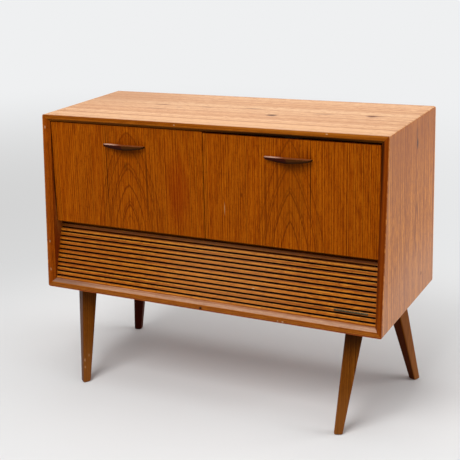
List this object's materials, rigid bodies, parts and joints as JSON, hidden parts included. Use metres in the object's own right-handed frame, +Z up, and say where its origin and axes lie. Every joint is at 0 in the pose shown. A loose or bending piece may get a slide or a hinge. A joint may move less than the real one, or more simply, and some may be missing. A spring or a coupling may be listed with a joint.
{
  "type": "radiogram",
  "caption": "Teak radiogram cabinet with a leaning front, drop flaps hiding a record deck and a receiver, a slatted speaker grille and splayed tapered legs.",
  "frame": {"origin": "on the floor, under the middle of the part's bounding box", "axes": "+X to the right along the front, +Y to the back, +Z up; the flaps and the grille face -Y"},
  "size_m": [0.95, 0.412, 0.734],
  "materials": {
    "teak_veneer": "oiled satin",
    "teak_solid": "oiled satin",
    "dark_stained_wood": "satin lacquer",
    "plain_board": "raw",
    "hardboard": "raw",
    "black_cloth": "woven",
    "brass": "satin",
    "steel": "brushed",
    "black_plastic": "matt",
    "ivory_plastic": "satin gloss",
    "grey_paint": "semi-matt",
    "black_rubber": "ribbed",
    "dial_glass": "clear",
    "red_pointer": "gloss"
  },
  "bodies": {
    "case": {"arm_rest": "black_plastic", "back_panel": "hardboard", "bottom_panel": "teak_veneer", "centre_partition": "teak_veneer", "compartment_shelf": "teak_veneer", "deck_plinth": "grey_paint", "dial_glass": "dial_glass", "flap_rail": "teak_solid", "grille_batten_centre": "dark_stained_wood", "grille_batten_left": "dark_stained_wood", "grille_batten_right": "dark_stained_wood", "grille_slat_01": "teak_solid", "grille_slat_02": "teak_solid", "grille_slat_03": "teak_solid", "grille_slat_04": "teak_solid", "grille_slat_05": "teak_solid", "grille_slat_06": "teak_solid", "grille_slat_07": "teak_solid", "grille_slat_08": "teak_solid", "grille_slat_09": "teak_solid", "grille_slat_10": "teak_solid", "grille_slat_11": "teak_solid", "grille_slat_12": "teak_solid", "grille_slat_13": "teak_solid", "left_hinge_fixed_leaf": "brass", "left_loudspeaker": "grey_paint", "left_side_panel": "teak_veneer", "left_stay_guide": "brass", "leg_back_left": "dark_stained_wood", "leg_back_right": "dark_stained_wood", "leg_front_left": "dark_stained_wood", "leg_front_right": "dark_stained_wood", "receiver_chassis": "grey_paint", "receiver_fascia": "dark_stained_wood", "right_hinge_fixed_leaf": "brass", "right_loudspeaker": "grey_paint", "right_side_panel": "teak_veneer", "right_stay_guide": "brass", "speaker_baffle": "plain_board", "speaker_cloth": "black_cloth", "top_panel": "teak_veneer"},
    "left_flap": {"left_flap": "teak_veneer", "left_handle": "dark_stained_wood", "left_hinge_moving_leaf": "brass", "left_stay_arm": "brass"},
    "right_flap": {"right_flap": "teak_veneer", "right_handle": "dark_stained_wood", "right_hinge_moving_leaf": "brass", "right_stay_arm": "brass"},
    "platter": {"platter": "steel", "platter_mat": "black_rubber"},
    "arm_pillar": {"arm_pillar": "steel"},
    "pickup_arm": {"pickup_arm": "ivory_plastic"},
    "speed_knob": {"speed_knob": "ivory_plastic"},
    "tuning_knob": {"tuning_knob": "ivory_plastic"},
    "volume_knob": {"volume_knob": "ivory_plastic"},
    "dial_pointer": {"dial_pointer": "red_pointer"},
    "push_button_1": {"push_button_1": "ivory_plastic"},
    "push_button_2": {"push_button_2": "ivory_plastic"},
    "push_button_3": {"push_button_3": "ivory_plastic"}
  },
  "joints": [
    {"name": "left_flap_hinge", "type": "hinge", "parent": "case", "child": "left_flap", "pos_m": [-0.2281, -0.13665, 0.44569], "axis": [1, 0, 0], "range_deg": [0, 88]},
    {"name": "right_flap_hinge", "type": "hinge", "parent": "case", "child": "right_flap", "pos_m": [0.2281, -0.13665, 0.44569], "axis": [1, 0, 0], "range_deg": [0, 88]},
    {"name": "platter_spin", "type": "hinge", "parent": "case", "child": "platter", "pos_m": [-0.26192, 0.04133, 0.5023], "axis": [0, 0, 1], "continuous": true},
    {"name": "arm_swing", "type": "hinge", "parent": "case", "child": "arm_pillar", "pos_m": [-0.066, 0.12801, 0.5473], "axis": [0, 0, -1], "range_deg": [0, 50]},
    {"name": "arm_lift", "type": "hinge", "parent": "arm_pillar", "child": "pickup_arm", "pos_m": [-0.066, 0.12801, 0.5473], "axis": [-1, 0, 0], "range_deg": [0, 12]},
    {"name": "speed_turn", "type": "hinge", "parent": "case", "child": "speed_knob", "pos_m": [-0.405, -0.07004, 0.5023], "axis": [0, 0, 1], "range_deg": [-45, 45]},
    {"name": "tuning_turn", "type": "hinge", "parent": "case", "child": "tuning_knob", "pos_m": [0.3787, -0.04864, 0.535], "axis": [0, 1, 0], "range_deg": [0, 1080]},
    {"name": "pointer_slide", "type": "slide", "parent": "case", "child": "dial_pointer", "axis": [1, 0, 0], "range_m": [0, 0.3395]},
    {"name": "volume_turn", "type": "hinge", "parent": "case", "child": "volume_knob", "pos_m": [0.0863, -0.04864, 0.535], "axis": [0, 1, 0], "range_deg": [0, 300]},
    {"name": "button_1_press", "type": "slide", "parent": "case", "child": "push_button_1", "axis": [0, 1, 0], "range_m": [0, 0.004], "stiffness_N_per_m": 300, "springref_m": -0.002},
    {"name": "button_2_press", "type": "slide", "parent": "case", "child": "push_button_2", "axis": [0, 1, 0], "range_m": [0, 0.004], "stiffness_N_per_m": 300, "springref_m": -0.002},
    {"name": "button_3_press", "type": "slide", "parent": "case", "child": "push_button_3", "axis": [0, 1, 0], "range_m": [0, 0.004], "stiffness_N_per_m": 300, "springref_m": -0.002}
  ],
  "couplings": [
    {"joint": "pointer_slide", "follows": "tuning_turn", "m_per_rad": 0.018}
  ]
}
